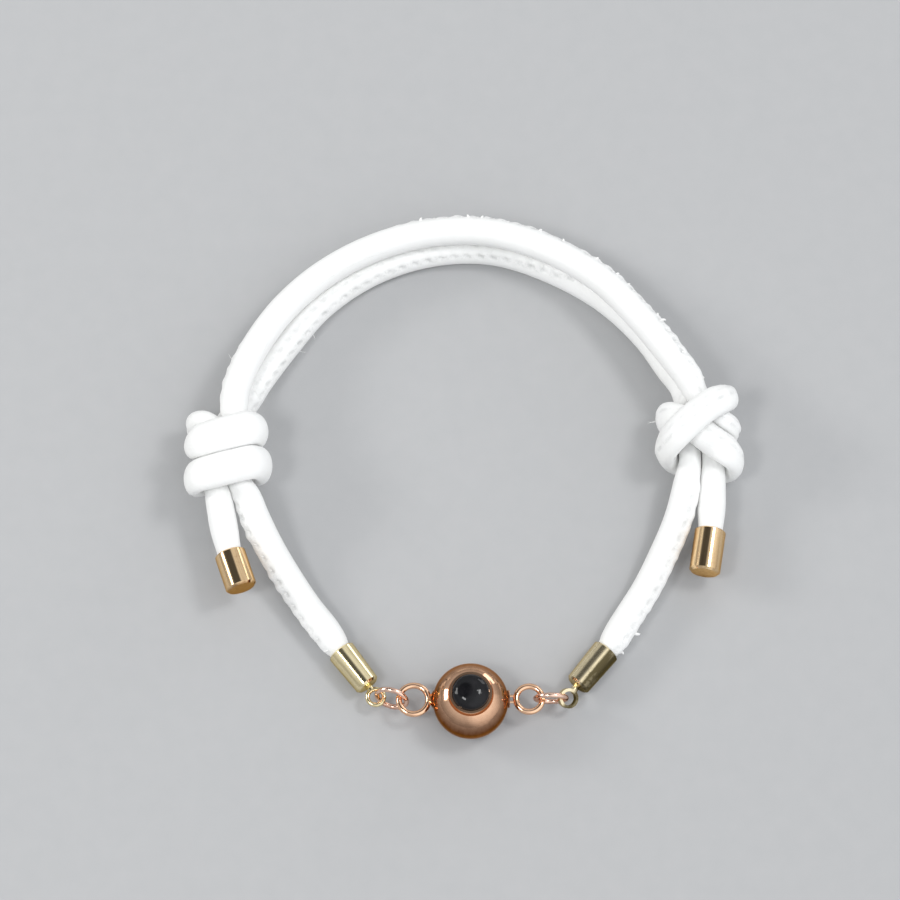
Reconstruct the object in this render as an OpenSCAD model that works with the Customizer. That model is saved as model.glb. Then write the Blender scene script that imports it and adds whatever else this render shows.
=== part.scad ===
// Adjustable bracelet of two round stitched leather cords. Each cord starts in a long cap
// beside the charm, runs up through one sliding knot, round the back of the loop, and ties
// the other knot, whose tail ends in a short cap. A small charm with a domed stone hangs
// between the long caps on two jump links. The bracelet lies flat: +Z up, +Y to the back,
// millimetres, with the origin on the table under the middle of the whole.

/* [Cord] */
// Diameter of the cord where nothing presses it
cord_d = 4; // [3.9:0.02:4.06]
// Diameter of the cord inside a long cap
long_end_d = 3; // [2.8:0.1:3.1]
// Diameter of the cord inside a tail cap
tail_end_d = 3.4; // [3:0.1:3.5]
// Number of sides of the cord's section
cord_sides = 12; // [8:2:12]

/* [Caps] */
// Diameter of a long cap at its mouth
long_cap_d = 3.9; // [3.7:0.1:4]
// Diameter of a long cap at its eye end
long_cap_end_d = 3.5; // [3.3:0.1:3.8]
// Bore of a long cap
long_bore_d = 3.2; // [3.15:0.05:3.3]
// Diameter of a tail cap
tail_cap_d = 4.3; // [4:0.1:4.5]
// Bore of a tail cap
tail_bore_d = 3.6; // [3.55:0.05:3.7]

/* [Charm] */
// Diameter of the charm
charm_d = 10.3; // [10:0.1:10.4]
// Diameter of the stone
stone_d = 5.1; // [4.6:0.1:5.2]
// Height of the stone's dome above its bezel
dome_h = 1.3; // [0.9:0.1:1.8]
// Wire of the charm's two soldered loops
loop_wire_d = 0.82; // [0.76:0.02:0.82]

/* [Links] */
// Outer diameter of a jump link
link_d = 4.85; // [4.85:0.05:5]
// Wire of a jump link
link_wire_d = 0.7; // [0.62:0.02:0.7]

/* [Hidden] */

leather = [0.94, 0.94, 0.92];
pale_gold = [0.86, 0.76, 0.5];
rosy_gold = [0.85, 0.68, 0.48];
rose_gold = [0.8, 0.55, 0.44];
black_glass = [0.03, 0.03, 0.04];
round_fn = 64;
wire_fn = 24;

// Knots
// A knot's own axes: across (towards its outer side), along (towards the back of the
// bracelet) and out (towards the face that the last turn crosses). Two strands run side by
// side through the middle, core_half to each side.
core_half = 1.52;
core_r = 1.46;
flat_t = 1.3;
flat_w = 2.35;
knot_reach = 12;

// Each knot: [middle, side, lean, pitch]. Side 1 shows the face that the last turn crosses,
// side -1 the face with the parallel turns; lean turns it from +Y, pitch lifts its back end.
LEFT_KNOT = [[-33, 3, 7.05], -1, 0, 4];
RIGHT_KNOT = [[32.7, 6.2, 4.5], 1, -5, 1];

// The cord that ties a knot: across, along, out, half thickness, half width
TYING = [
    // it comes in on the crossed face and turns down on the outer side
    [0, 4.6, 3, 1.5, 1.6],
    [1.5, 2.4, 2.85, flat_t, 1.4],
    [3.4, 0.6, 2.2, flat_t, 1.3],
    [4.55, 0, 0.2, flat_t, 1.75],
    [3.8, 0.1, -2, flat_t, flat_w],
    // first parallel turn and the lobe at its inner end
    [1.5, 0.6, -2.95, flat_t, flat_w],
    [-1.5, 1.4, -2.95, flat_t, flat_w],
    [-3.6, 2, -2.1, flat_t, 2.3],
    [-4.4, 2.05, 0, flat_t, 2.1],
    [-3.6, 1.7, 2, flat_t, 2.05],
    // down across the face, under the last turn, to the low outer lobe
    [-1.5, 0.2, 2.85, flat_t, 2.1],
    [1.5, -2.6, 2.85, flat_t, 2.1],
    [3.7, -4.2, 2.1, flat_t, flat_w],
    [4.5, -4.7, 0, flat_t, flat_w],
    [3.7, -4.8, -2.1, flat_t, flat_w],
    // second parallel turn and the low inner lobe
    [1.5, -4.4, -2.95, flat_t, flat_w],
    [-1.5, -3.6, -2.95, flat_t, flat_w],
    [-3.8, -2.9, -2.1, flat_t, flat_w],
    [-4.8, -2.6, 0.2, 1.4, flat_w],
    [-4.7, -2.5, 2.6, flat_t, flat_w],
    // the last turn, slanting up over everything on the crossed face
    [-3.6, -1.8, 4.7, flat_t, 2.2],
    [-1.7, -0.4, 5.55, flat_t, 2.1],
    [0.5, 1.2, 5.6, flat_t, 2.1],
    [2.2, 2.2, 5.5, flat_t, 2.1],
    [3.5, 2.8, 4.8, flat_t, 1.95],
    [4.35, 3.35, 3.4, flat_t, 1.75],
    // it dives at the top outer corner and leaves through the middle
    [4.44, 3.61, 2.47, flat_t, 1.68],
    [4.37, 3.7, 1.1, 1.35, 1.5],
    [3.5, 3.62, 0.02, 1.4, 1.45],
    [3.15, 3.53, -0.16, 1.42, 1.45],
    [2.2, 2.96, -0.32, 1.45, 1.42],
    [1.62, 2.15, -0.18, 1.42, 1.42],
    [core_half, 0, 0, core_r, core_r],
    [1.56, -4.6, 0, 1.46, 1.46]];
// The other cord's way through the middle of a knot, from front to back
THROUGH = [
    [-1.64, -4.6, 0, 1.52, 1.52],
    [-1.5, -1, 0, core_r, core_r],
    [-1.48, 2, 0, core_r, core_r],
    [-1.3, 3.6, -0.1, 1.55, 1.55],
    [-1, 5, -0.4, 1.85, 1.85]];

// Free stretches
// Places on the table: x, y, z, half thickness, half width
cord_r = cord_d / 2;
long_r = long_end_d / 2;
tail_r = tail_end_d / 2;
FRONT_LEFT = [
    [-14.1, -29, 2.1, long_r, long_r],
    [-17.1, -25.1, 2.1, long_r, long_r],
    [-17.7, -24.3, 2.1, 1.8, 1.8],
    [-18.8, -22.7, 2.1, cord_r, cord_r],
    [-21.6, -19, 2.2, cord_r, cord_r],
    [-24.3, -15, 2.7, cord_r, cord_r],
    [-26.8, -11, 4, cord_r, cord_r],
    [-28.8, -7.2, 5.4, cord_r, cord_r],
    [-29.88, -4.5, 6.35, 1.84, 1.84]];
ARC_OUTER = [
    [-32, 10, 7.65, 1.95, 1.95],
    [-31, 14.2, 7, cord_r, cord_r],
    [-28.8, 19.3, 5.9, cord_r, cord_r],
    [-25.6, 24.2, 5.3, cord_r, cord_r],
    [-20.6, 29, 5.4, cord_r, cord_r],
    [-13.5, 33.2, 5.6, cord_r, cord_r],
    [-5, 35.7, 5.8, cord_r, cord_r],
    [3.5, 35.8, 5.9, cord_r, cord_r],
    [12, 33.1, 6, cord_r, cord_r],
    [19.5, 28.3, 6.1, cord_r, cord_r],
    [25.2, 21.9, 6.6, cord_r, cord_r],
    [28.9, 16.6, 7.3, cord_r, cord_r],
    [31.4, 12.6, 7.8, 1.85, 1.85]];
RIGHT_TAIL = [
    [34.55, -1.6, 4.3, 1.78, 1.78],
    [34.3, -5.2, 4.1, 1.95, 1.95],
    [34.1, -8.2, 4, tail_r, tail_r],
    [33.4, -12.6, 4, tail_r, tail_r]];
FRONT_RIGHT = [
    [16.4, -28.9, 2.1, long_r, long_r],
    [19.6, -25, 2.1, long_r, long_r],
    [20.2, -24.2, 2.1, 1.8, 1.8],
    [21.2, -22.6, 2.1, cord_r, cord_r],
    [22.8, -20, 2.1, cord_r, cord_r],
    [25, -16.5, 2.2, cord_r, cord_r],
    [27.5, -11.6, 2.8, cord_r, cord_r],
    [29.7, -6.5, 3.7, cord_r, cord_r],
    [30.88, -1.5, 4.3, 1.78, 1.78]];
ARC_INNER = [
    [30.9, 12.6, 3.9, 1.85, 1.85],
    [29.1, 15.9, 3.1, cord_r, cord_r],
    [26.2, 20.7, 2.4, cord_r, cord_r],
    [20.8, 26.5, 2.1, cord_r, cord_r],
    [13.3, 31.3, 2, cord_r, cord_r],
    [3.5, 34.6, 2, cord_r, cord_r],
    [-4.5, 34.3, 2, cord_r, cord_r],
    [-12.8, 31.5, 2, cord_r, cord_r],
    [-20.2, 26.2, 2.05, cord_r, cord_r],
    [-25.4, 19.6, 2.4, cord_r, cord_r],
    [-28.9, 14.2, 3, cord_r, cord_r],
    [-31.3, 9.8, 3.6, 1.85, 1.85]];
LEFT_TAIL = [
    [-33.95, -4.7, 6.35, 1.82, 1.82],
    [-33.2, -8.6, 5.8, 1.95, 1.95],
    [-32.4, -12, 5.6, tail_r, tail_r],
    [-31, -16.2, 5.7, tail_r, tail_r]];

// Sweeping a cord
ring_turn = 24;      // most that the cord turns from one ring to the next
ring_step = 4.5;     // and the longest step between rings

function unit(v) = v / norm(v);
function clamped(v, low, high) = min(max(v, low), high);
function place(row) = [row[0], row[1], row[2]];

function along(knot) = [sin(knot[2]) * cos(knot[3]), cos(knot[2]) * cos(knot[3]), sin(knot[3])];
function across(knot) = knot[1] * [cos(knot[2]), -sin(knot[2]), 0];
function out(knot) = cross(across(knot), along(knot));
function in_knot(rows, knot) = [for (r = rows) concat(
    knot[0] + r[0] * across(knot) + r[1] * along(knot) + r[2] * out(knot), [r[3], r[4]])];

// A smooth curve through all the rows, with a ring for each bit of turn
function smooth(rows) = let (
    n = len(rows) - 1,
    d = [for (i = [0:n - 1]) norm(place(rows[i + 1]) - place(rows[i]))],
    s = [for (i = [0:n - 1]) (rows[i + 1] - rows[i]) / d[i]],
    m = [for (i = [0:n]) i == 0 ? s[0] : i == n ? s[n - 1]
        : (s[i - 1] * d[i] + s[i] * d[i - 1]) / (d[i] + d[i - 1])]
    ) concat([for (i = [0:n - 1]) let (
        turn = acos(clamped(unit(place(m[i])) * unit(place(m[i + 1])), -1, 1)),
        parts = max(1, ceil(turn / ring_turn), ceil(d[i] / ring_step)))
        for (j = [0:parts - 1]) let (u = j / parts)
        (1 + 2 * u) * pow(1 - u, 2) * rows[i] + u * pow(1 - u, 2) * d[i] * m[i]
        + u * u * (3 - 2 * u) * rows[i + 1] + u * u * (u - 1) * d[i] * m[i + 1]],
    [rows[n]]);

function tangents(rows) = let (n = len(rows) - 1) [for (i = [0:n])
    unit(place(rows[min(i + 1, n)]) - place(rows[max(i - 1, 0)]))];
// A direction square to each tangent, carried along the cord without turning round it
function carried(tan) = let (first = unit(cross(cross(tan[0], [0, 0, 1]), tan[0])))
    [for (i = 0, v = first; i < len(tan);
        i = i + 1, v = i < len(tan) ? unit(v - tan[i] * (v * tan[i])) : v) v];

// Inside a knot the cord is pressed flat against the two strands in the middle: its thin
// direction points away from them
function from_core(p, knot) = let (q = p - knot[0], a = q * across(knot))
    (a - clamped(a, -core_half, core_half)) * across(knot) + (q * out(knot)) * out(knot);
function thin_way(p) = let (
    knot = norm(p - LEFT_KNOT[0]) < norm(p - RIGHT_KNOT[0]) ? LEFT_KNOT : RIGHT_KNOT)
    norm(p - knot[0]) < knot_reach ? from_core(p, knot) : [0, 0, 1];

function rings(rows) = let (tan = tangents(rows), nrm = carried(tan))
    [for (i = [0:len(rows) - 1]) let (
        p = place(rows[i]), n = nrm[i], b = cross(tan[i], n), h = thin_way(p),
        thin = atan2(h * b, h * n))
        [for (k = [0:cord_sides - 1]) let (
            a = 360 * k / cord_sides,
            r = 1 / norm([cos(a - thin) / rows[i][3], sin(a - thin) / rows[i][4]]))
            p + r * (cos(a) * n + sin(a) * b)]];

module swept(rows) {
    ring = rings(smooth(rows));
    n = len(ring);
    s = cord_sides;
    polyhedron(
        points = [for (r = ring) each r],
        faces = concat(
            [[for (k = [0:s - 1]) k]],
            [for (i = [0:n - 2]) for (k = [0:s - 1]) let (
                a = i * s + k, b = i * s + (k + 1) % s) each [[a, b + s, b], [a, a + s, b + s]]],
            [[for (k = [s - 1:-1:0]) (n - 1) * s + k]]));
}

// Metal
// Long cap: [middle of its mouth, middle of its eye end, middle of its eye]
LONG_LEFT = [[-17, -25.2, 2.1], [-13.2, -30.15, 2.1], [-12.15, -31.8, 2.3]];
LONG_RIGHT = [[19.5, -25.1, 2.1], [15.4, -30.1, 2.1], [14.15, -32.05, 2.55]];
eye_d = 2.85;
eye_wire_d = 0.62;
band_eye_d = 2.75;
band_eye_t = 0.4;
band_eye_h = 0.8;
band_eye_lean = 28;
band_eye_turn = -40;
neck_d = 1;
long_bore_depth = 5;
// Tail cap: [middle of its mouth, middle of its closed end]
TAIL_LEFT = [[-32.35, -12.2, 5.6], [-30.6, -17.3, 5.7]];
TAIL_RIGHT = [[34.1, -8.4, 4], [33.1, -14.5, 4]];
tail_bore_depth = 4.8;
edge_r = 0.3;

// A turned body from one point to another, drawn along +Z
module between(from, to) {
    v = to - from;
    translate(from) rotate([0, acos(v[2] / norm(v)), atan2(v[1], v[0])]) children();
}

module wire_ring(d, wire_d)
    rotate_extrude($fn = round_fn) translate([(d - wire_d) / 2, 0]) circle(d = wire_d, $fn = wire_fn);

// A cup of outer diameter d at the mouth and end_d at its closed end
module cup(d, end_d, bore_d, length, depth) {
    difference() {
        rotate_extrude($fn = round_fn) polygon([
            [0, 0], [d / 2 - edge_r / 2, 0], [d / 2, edge_r / 2],
            [end_d / 2, length - edge_r], [end_d / 2 - edge_r, length], [0, length]]);
        translate([0, 0, -1]) cylinder(d = bore_d, h = depth + 1, $fn = round_fn);
    }
}

// A long cap up to the end of its neck; the eye is its child
module long_cap(at, eye_r) {
    between(at[0], at[1])
        cup(long_cap_d, long_cap_end_d, long_bore_d, norm(at[1] - at[0]), long_bore_depth);
    reach = norm(at[2] - at[1]) - eye_r;
    between(at[1], at[2]) translate([0, 0, -0.2]) cylinder(d = neck_d, h = reach + 0.2, $fn = 32);
    translate(at[2]) children();
}

// An eye bent from flat strip, its upper rim leaning forward and to the right
module band_eye()
    rotate([0, band_eye_lean, band_eye_turn]) rotate_extrude($fn = round_fn)
        translate([band_eye_d / 2 - band_eye_t, -band_eye_h / 2]) square([band_eye_t, band_eye_h]);

module tail_cap(at)
    between(at[0], at[1])
        cup(tail_cap_d, tail_cap_d, tail_bore_d, norm(at[1] - at[0]), tail_bore_depth);

// A jump link: [middle, turn about Z, lean of its top to the back]
LEFT_LINK = [[-9.95, -32.15, 2.9], -15, 16];
RIGHT_LINK = [[11.78, -32.25, 3.25], 0, -4];
module link(at) translate(at[0]) rotate([0, 0, at[1]]) rotate([90 - at[2], 0, 0])
    wire_ring(link_d, link_wire_d);

// Charm
charm_at = [0.8, -32.9, 0];
charm_r = charm_d / 2;
back_r = 3.1;
band_z = [4.1, 4.3];
bezel_z = 7.6;
bezel_r = 3.1;
seat_z = 7.5;
rim_z = 8.4;
rim_r = 2.92;
stone_gap = 0.05;
// Soldered loops: [middle, outer diameter]
LEFT_LOOP = [[-6.95, -32.5, 3.4], 4.85];
RIGHT_LOOP = [[8.8, -32.4, 3.4], 4.4];
cone_d = [0.9, 2.9];
cone_l = 0.75;
cone_out = 0.5;
boss_d = 2.4;
boss_t = 1;
boss_out = 0.2;
prong_d = 0.36;
prong_l = 1;
prong_gap = 0.85;

// A quarter of an oval, from the rim of a dome to its top
function dome(r, z, h, steps) = concat(
    [for (i = [0:steps - 1]) let (a = 90 * i / steps) [r * cos(a), z + h * sin(a)]], [[0, z + h]]);
// An arc in the plane of the turned profile, from one point to another, whose centre is
// level with the first
function arc_out(from, to, steps) = let (
    h = to[1] - from[1],
    c = (pow(from[0], 2) - pow(to[0], 2) - h * h) / (2 * (from[0] - to[0])),
    r = from[0] - c,
    end = atan2(h, to[0] - c))
    concat([for (i = [0:steps - 1]) [c + r * cos(end * i / steps), from[1] + r * sin(end * i / steps)]],
        [to]);
function reversed(list) = [for (i = [len(list) - 1:-1:0]) list[i]];

module charm_body()
    difference() {
        rotate_extrude($fn = round_fn) polygon(concat(
            [[0, 0]],
            reversed(arc_out([charm_r, band_z[0]], [back_r, 0], 12)),
            arc_out([charm_r, band_z[1]], [bezel_r, bezel_z], 14),
            [[rim_r, rim_z], [0, rim_z]]));
        translate([0, 0, seat_z]) cylinder(d = stone_d + 2 * stone_gap, h = 2, $fn = round_fn);
    }

module loop(at) translate(at[0]) wire_ring(at[1], loop_wire_d);

// The left loop is soldered to the charm's side by a cone that widens towards the charm
module left_boss()
    translate([charm_at[0] - charm_r - cone_out, LEFT_LOOP[0][1], LEFT_LOOP[0][2]])
        rotate([0, 90, 0]) {
            cylinder(d1 = cone_d[0], d2 = cone_d[1], h = cone_l, $fn = 48);
            translate([0, 0, cone_l]) cylinder(d = cone_d[1], h = cone_l, $fn = 48);
        }
// and the right loop to a round boss by two short prongs
module right_boss()
    translate([charm_at[0] + charm_r + boss_out, RIGHT_LOOP[0][1], RIGHT_LOOP[0][2]])
        rotate([0, 90, 0]) {
            translate([0, 0, -boss_t]) cylinder(d = boss_d, h = boss_t, $fn = 48);
            for (side = [-1, 1]) translate([0, side * prong_gap / 2, -prong_l / 3])
                cylinder(d = prong_d, h = prong_l, $fn = 16);
        }

module cord_left() color(leather) swept(concat(
    FRONT_LEFT, in_knot(THROUGH, LEFT_KNOT), ARC_OUTER, in_knot(TYING, RIGHT_KNOT), RIGHT_TAIL));
module cord_right() color(leather) swept(concat(
    FRONT_RIGHT, in_knot(THROUGH, RIGHT_KNOT), ARC_INNER, in_knot(TYING, LEFT_KNOT), LEFT_TAIL));

module long_cap_left() color(pale_gold)
    long_cap(LONG_LEFT, eye_d / 2 - eye_wire_d / 2) wire_ring(eye_d, eye_wire_d);
module long_cap_right() color(pale_gold)
    long_cap(LONG_RIGHT, band_eye_d / 2 - band_eye_t / 2) band_eye();
module tail_cap_left() color(rosy_gold) tail_cap(TAIL_LEFT);
module tail_cap_right() color(rosy_gold) tail_cap(TAIL_RIGHT);

module link_left() color(rose_gold) link(LEFT_LINK);
module link_right() color(rose_gold) link(RIGHT_LINK);

module charm() color(rose_gold) {
    translate(charm_at) charm_body();
    left_boss();
    right_boss();
    loop(LEFT_LOOP);
    loop(RIGHT_LOOP);
}

module stone() color(black_glass) translate(charm_at + [0, 0, seat_z + stone_gap])
    rotate_extrude($fn = round_fn) polygon(concat(
        [[0, 0], [stone_d / 2, 0]],
        dome(stone_d / 2, rim_z - seat_z - stone_gap, dome_h, 14)));

cord_left();
cord_right();
long_cap_left();
long_cap_right();
tail_cap_left();
tail_cap_right();
link_left();
link_right();
charm();
stone();
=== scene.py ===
"""Adjustable bracelet of two round stitched leather cords, with a small gold charm between them.

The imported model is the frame. The cords are made here again as fine tubes on the same lines as
the solids, with their sewn seam, and the metal and the stone get their finish."""
import math

import bpy
import numpy as np
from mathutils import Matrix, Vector


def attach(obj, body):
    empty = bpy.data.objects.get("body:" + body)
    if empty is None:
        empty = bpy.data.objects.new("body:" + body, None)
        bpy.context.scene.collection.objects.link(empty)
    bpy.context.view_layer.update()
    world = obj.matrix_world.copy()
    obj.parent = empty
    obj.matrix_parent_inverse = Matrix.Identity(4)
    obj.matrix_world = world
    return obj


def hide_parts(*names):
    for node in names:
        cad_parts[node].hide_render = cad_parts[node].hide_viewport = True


MM = 0.001

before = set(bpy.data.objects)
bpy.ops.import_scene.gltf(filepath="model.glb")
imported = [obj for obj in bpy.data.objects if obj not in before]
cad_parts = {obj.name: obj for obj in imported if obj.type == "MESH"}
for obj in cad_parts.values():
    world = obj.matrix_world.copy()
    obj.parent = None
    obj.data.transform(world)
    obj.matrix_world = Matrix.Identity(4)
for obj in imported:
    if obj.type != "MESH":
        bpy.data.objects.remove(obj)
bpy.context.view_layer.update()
scene = bpy.context.scene


def in_scene(name, data):
    """A new object with that data, at the origin of the scene."""
    made = bpy.data.objects.new(name, data)
    scene.collection.objects.link(made)
    return made


def add_node(tree, kind, settings=None, sockets=None):
    """A node of a tree: its settings first, then values or links for its sockets."""
    made = tree.nodes.new(kind)
    for key, value in (settings or {}).items():
        setattr(made, key, value)
    for key, value in (sockets or {}).items():
        if isinstance(value, bpy.types.NodeSocket):
            tree.links.new(value, made.inputs[key])
        else:
            made.inputs[key].default_value = value
    return made


# Camera

VIEW_TARGET = Vector((-2.0, 3.9, 3.0)) * MM
VIEW_HEIGHT = math.radians(70)
VIEW_DISTANCE = 500 * MM
VIEW_LENS = 142.85
VIEW_SENSOR = 36
VIEW_NEAREST = 0.01


def place_camera():
    data = bpy.data.cameras.new("camera")
    data.lens, data.sensor_width, data.clip_start = VIEW_LENS, VIEW_SENSOR, VIEW_NEAREST
    camera = in_scene("camera", data)
    away = Vector((0, -math.cos(VIEW_HEIGHT), math.sin(VIEW_HEIGHT)))
    camera.location = VIEW_TARGET + away * VIEW_DISTANCE
    camera.rotation_euler = (math.pi / 2 - VIEW_HEIGHT, 0, 0)
    scene.camera = camera


# The cords' places, as in the part's source, in millimetres

CORD_D = 4.0
CORD_R = CORD_D / 2
LONG_R = 1.5          # the cord inside a long cap
TAIL_R = 1.7          # and inside a tail cap
CORE_HALF = 1.52      # half the distance between the two strands inside a knot
CORE_R = 1.46         # and their radius
FLAT_T = 1.3          # a turn's usual half thickness
FLAT_W = 2.35         # and half width
KNOT_REACH = 12.0     # within this of a knot's middle, sections are thin towards its core
PRESSED_END = 9.5     # beyond this the cord isn't pressed at all
PRESSED_FADE = 2.5    # over this length, inwards, it comes to be pressed fully

# A knot: middle, side, lean and pitch in degrees
LEFT_KNOT = ((-33, 3, 7.05), -1, 0, 4)
RIGHT_KNOT = ((32.7, 6.2, 4.5), 1, -5, 1)

# In a knot's own axes: across, along, out, half thickness, half width
TYING = (
    (0, 4.6, 3, 1.5, 1.6),
    (1.5, 2.4, 2.85, FLAT_T, 1.4),
    (3.4, 0.6, 2.2, FLAT_T, 1.3),
    (4.55, 0, 0.2, FLAT_T, 1.75),
    (3.8, 0.1, -2, FLAT_T, FLAT_W),
    (1.5, 0.6, -2.95, FLAT_T, FLAT_W),
    (-1.5, 1.4, -2.95, FLAT_T, FLAT_W),
    (-3.6, 2, -2.1, FLAT_T, 2.3),
    (-4.4, 2.05, 0, FLAT_T, 2.1),
    (-3.6, 1.7, 2, FLAT_T, 2.05),
    (-1.5, 0.2, 2.85, FLAT_T, 2.1),
    (1.5, -2.6, 2.85, FLAT_T, 2.1),
    (3.7, -4.2, 2.1, FLAT_T, FLAT_W),
    (4.5, -4.7, 0, FLAT_T, FLAT_W),
    (3.7, -4.8, -2.1, FLAT_T, FLAT_W),
    (1.5, -4.4, -2.95, FLAT_T, FLAT_W),
    (-1.5, -3.6, -2.95, FLAT_T, FLAT_W),
    (-3.8, -2.9, -2.1, FLAT_T, FLAT_W),
    (-4.8, -2.6, 0.2, 1.4, FLAT_W),
    (-4.7, -2.5, 2.6, FLAT_T, FLAT_W),
    (-3.6, -1.8, 4.7, FLAT_T, 2.2),
    (-1.7, -0.4, 5.55, FLAT_T, 2.1),
    (0.5, 1.2, 5.6, FLAT_T, 2.1),
    (2.2, 2.2, 5.5, FLAT_T, 2.1),
    (3.5, 2.8, 4.8, FLAT_T, 1.95),
    (4.35, 3.35, 3.4, FLAT_T, 1.75),
    (4.44, 3.61, 2.47, FLAT_T, 1.68),
    (4.37, 3.7, 1.1, 1.35, 1.5),
    (3.5, 3.62, 0.02, 1.4, 1.45),
    (3.15, 3.53, -0.16, 1.42, 1.45),
    (2.2, 2.96, -0.32, 1.45, 1.42),
    (1.62, 2.15, -0.18, 1.42, 1.42),
    (CORE_HALF, 0, 0, CORE_R, CORE_R),
    (1.56, -4.6, 0, 1.46, 1.46))
THROUGH = (
    (-1.64, -4.6, 0, 1.52, 1.52),
    (-1.5, -1, 0, CORE_R, CORE_R),
    (-1.48, 2, 0, CORE_R, CORE_R),
    (-1.3, 3.6, -0.1, 1.55, 1.55),
    (-1, 5, -0.4, 1.85, 1.85))

# On the table: x, y, z, half thickness, half width
FRONT_LEFT = (
    (-14.1, -29, 2.1, LONG_R, LONG_R),
    (-17.1, -25.1, 2.1, LONG_R, LONG_R),
    (-17.7, -24.3, 2.1, 1.8, 1.8),
    (-18.8, -22.7, 2.1, CORD_R, CORD_R),
    (-21.6, -19, 2.2, CORD_R, CORD_R),
    (-24.3, -15, 2.7, CORD_R, CORD_R),
    (-26.8, -11, 4, CORD_R, CORD_R),
    (-28.8, -7.2, 5.4, CORD_R, CORD_R),
    (-29.88, -4.5, 6.35, 1.84, 1.84))
ARC_OUTER = (
    (-32, 10, 7.65, 1.95, 1.95),
    (-31, 14.2, 7, CORD_R, CORD_R),
    (-28.8, 19.3, 5.9, CORD_R, CORD_R),
    (-25.6, 24.2, 5.3, CORD_R, CORD_R),
    (-20.6, 29, 5.4, CORD_R, CORD_R),
    (-13.5, 33.2, 5.6, CORD_R, CORD_R),
    (-5, 35.7, 5.8, CORD_R, CORD_R),
    (3.5, 35.8, 5.9, CORD_R, CORD_R),
    (12, 33.1, 6, CORD_R, CORD_R),
    (19.5, 28.3, 6.1, CORD_R, CORD_R),
    (25.2, 21.9, 6.6, CORD_R, CORD_R),
    (28.9, 16.6, 7.3, CORD_R, CORD_R),
    (31.4, 12.6, 7.8, 1.85, 1.85))
RIGHT_TAIL = (
    (34.55, -1.6, 4.3, 1.78, 1.78),
    (34.3, -5.2, 4.1, 1.95, 1.95),
    (34.1, -8.2, 4, TAIL_R, TAIL_R),
    (33.4, -12.6, 4, TAIL_R, TAIL_R))
FRONT_RIGHT = (
    (16.4, -28.9, 2.1, LONG_R, LONG_R),
    (19.6, -25, 2.1, LONG_R, LONG_R),
    (20.2, -24.2, 2.1, 1.8, 1.8),
    (21.2, -22.6, 2.1, CORD_R, CORD_R),
    (22.8, -20, 2.1, CORD_R, CORD_R),
    (25, -16.5, 2.2, CORD_R, CORD_R),
    (27.5, -11.6, 2.8, CORD_R, CORD_R),
    (29.7, -6.5, 3.7, CORD_R, CORD_R),
    (30.88, -1.5, 4.3, 1.78, 1.78))
ARC_INNER = (
    (30.9, 12.6, 3.9, 1.85, 1.85),
    (29.1, 15.9, 3.1, CORD_R, CORD_R),
    (26.2, 20.7, 2.4, CORD_R, CORD_R),
    (20.8, 26.5, 2.1, CORD_R, CORD_R),
    (13.3, 31.3, 2, CORD_R, CORD_R),
    (3.5, 34.6, 2, CORD_R, CORD_R),
    (-4.5, 34.3, 2, CORD_R, CORD_R),
    (-12.8, 31.5, 2, CORD_R, CORD_R),
    (-20.2, 26.2, 2.05, CORD_R, CORD_R),
    (-25.4, 19.6, 2.4, CORD_R, CORD_R),
    (-28.9, 14.2, 3, CORD_R, CORD_R),
    (-31.3, 9.8, 3.6, 1.85, 1.85))
LEFT_TAIL = (
    (-33.95, -4.7, 6.35, 1.82, 1.82),
    (-33.2, -8.6, 5.8, 1.95, 1.95),
    (-32.4, -12, 5.6, TAIL_R, TAIL_R),
    (-31, -16.2, 5.7, TAIL_R, TAIL_R))

# Where the seam looks: part of the cord, row in it, direction (in a knot: across, along, out)
SEAM_LEFT = (
    (0, 1, (-0.78, -0.6, 0.08)),
    (0, 4, (-0.8, -0.57, 0.13)),
    (0, 5, (-0.78, -0.53, 0.33)),
    (0, 7, (-0.9, -0.4, 0.12)),
    (1, 2, (0.8, 0, 0.6)),
    (2, 1, (-0.97, 0.1, -0.1)),
    (2, 2, (-0.75, 0.35, -0.6)),
    (2, 3, (-0.6, 0.45, -0.7)),
    (2, 5, (-0.3, 0.8, -0.5)),
    (2, 6, (-0.1, 1, 0.05)),
    (2, 8, (0.45, 0.87, 0.08)),
    (2, 10, (0.75, 0.62, 0.12)),
    (2, 12, (0.72, 0.3, 0.63)),
    (3, 1, (0.53, -0.06, 0.84)),
    (3, 2, (0.75, -0.35, 0.56)),
    (3, 10, (0.4, 0.5, 0.77)),
    (3, 11, (0.54, 0.56, 0.63)),
    (3, 12, (0.8, 0.42, 0.4)),
    (3, 20, (-0.5, 0.1, 0.86)),
    (3, 21, (-0.3, 0.12, 0.95)),
    (3, 23, (0, 0.25, 0.97)),
    (3, 25, (0.45, 0.7, 0.55)),
    (4, 1, (0.1, 0, -1)))
SEAM_RIGHT = (
    (0, 1, (0.78, -0.5, 0.35)),
    (0, 5, (0.77, -0.49, 0.38)),
    (0, 6, (0.75, -0.42, 0.5)),
    (0, 7, (0.77, -0.25, 0.55)),
    (0, 8, (0.88, -0.12, 0.42)),
    (1, 2, (-0.5, 0, 0.8)),
    (2, 1, (0.7, 0.3, 0.6)),
    (2, 3, (0.5, 0.55, 0.7)),
    (2, 4, (-0.13, -0.18, 0.97)),
    (2, 5, (-0.12, -0.42, 0.9)),
    (2, 6, (-0.03, -0.48, 0.88)),
    (2, 8, (0.25, -0.4, 0.88)),
    (2, 9, (0.38, -0.33, 0.86)),
    (2, 10, (0.42, -0.2, 0.88)),
    (2, 11, (0.57, -0.25, 0.78)),
    (4, 1, (-0.1, 0, -1)))

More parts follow.
